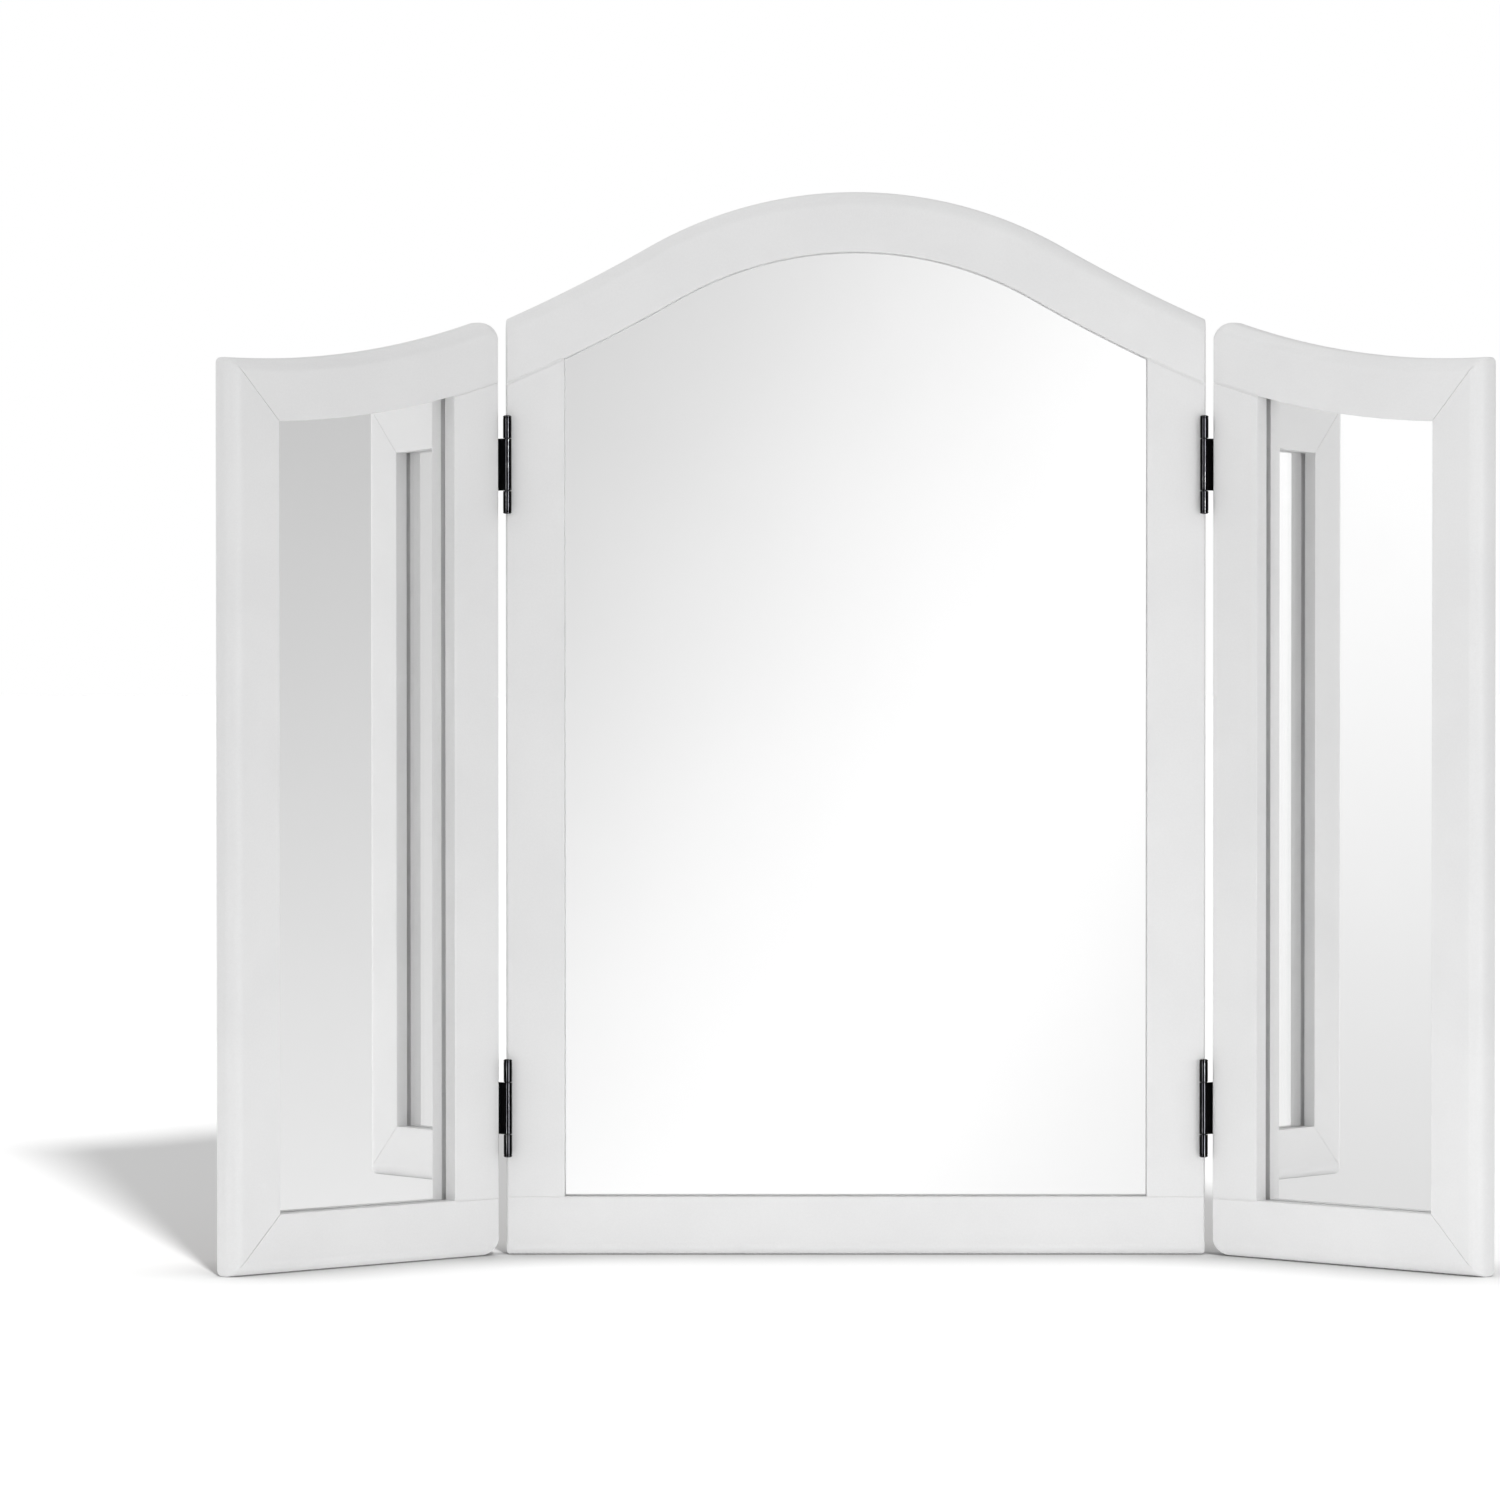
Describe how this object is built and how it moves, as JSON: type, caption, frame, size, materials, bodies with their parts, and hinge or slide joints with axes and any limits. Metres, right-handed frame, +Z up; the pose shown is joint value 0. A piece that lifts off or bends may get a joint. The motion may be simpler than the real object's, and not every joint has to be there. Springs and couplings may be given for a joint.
{
  "type": "trifold vanity mirror",
  "caption": "Free-standing trifold vanity mirror: an arched centre mirror with two hinged wing mirrors in white painted wooden frames, standing folded forward.",
  "frame": {"origin": "middle of the foot of the centre panel, half-way through its thickness", "axes": "+X to the viewer's right along the centre panel, +Y backwards through it (the mirrors face -Y), +Z up"},
  "size_m": [0.6372, 0.1381, 0.5475],
  "materials": {
    "white_wood": "satin white paint",
    "mirror_glass": "silvered clear glass",
    "packing_card": "plain card",
    "hardboard": "smooth brown hardboard",
    "dowel_wood": "plain beech",
    "black_steel": "antique black over steel, worn at the edges",
    "zinc_steel": "zinc plated"
  },
  "bodies": {
    "centre_panel": {"centre_top_rail": "white_wood", "centre_bottom_rail": "white_wood", "centre_left_stile": "white_wood", "centre_right_stile": "white_wood", "centre_mirror": "mirror_glass", "centre_packing": "packing_card", "centre_back_board": "hardboard", "centre_board_screws": "zinc_steel", "centre_dowels": "dowel_wood", "centre_hinge_screws": "black_steel", "left_upper_hinge_frame_leaf": "black_steel", "left_lower_hinge_frame_leaf": "black_steel", "left_upper_hinge_pin": "black_steel", "left_lower_hinge_pin": "black_steel", "right_upper_hinge_frame_leaf": "black_steel", "right_lower_hinge_frame_leaf": "black_steel", "right_upper_hinge_pin": "black_steel", "right_lower_hinge_pin": "black_steel"},
    "left_wing": {"left_wing_top_rail": "white_wood", "left_wing_bottom_rail": "white_wood", "left_wing_outer_stile": "white_wood", "left_wing_hinge_stile": "white_wood", "left_wing_mirror": "mirror_glass", "left_wing_packing": "packing_card", "left_wing_back_board": "hardboard", "left_wing_board_screws": "zinc_steel", "left_wing_dowels": "dowel_wood", "left_wing_hinge_screws": "black_steel", "left_upper_hinge_wing_leaf": "black_steel", "left_lower_hinge_wing_leaf": "black_steel"},
    "right_wing": {"right_wing_top_rail": "white_wood", "right_wing_bottom_rail": "white_wood", "right_wing_outer_stile": "white_wood", "right_wing_hinge_stile": "white_wood", "right_wing_mirror": "mirror_glass", "right_wing_packing": "packing_card", "right_wing_back_board": "hardboard", "right_wing_board_screws": "zinc_steel", "right_wing_dowels": "dowel_wood", "right_wing_hinge_screws": "black_steel", "right_upper_hinge_wing_leaf": "black_steel", "right_lower_hinge_wing_leaf": "black_steel"}
  },
  "joints": [
    {"name": "left_wing_fold", "type": "hinge", "parent": "centre_panel", "child": "left_wing", "pos_m": [-0.179, -0.01275, 0], "axis": [0, 0, 1], "range_deg": [-43.5, 136.5]},
    {"name": "right_wing_fold", "type": "hinge", "parent": "centre_panel", "child": "right_wing", "pos_m": [0.179, -0.01275, 0], "axis": [0, 0, -1], "range_deg": [-43.5, 136.5]}
  ]
}
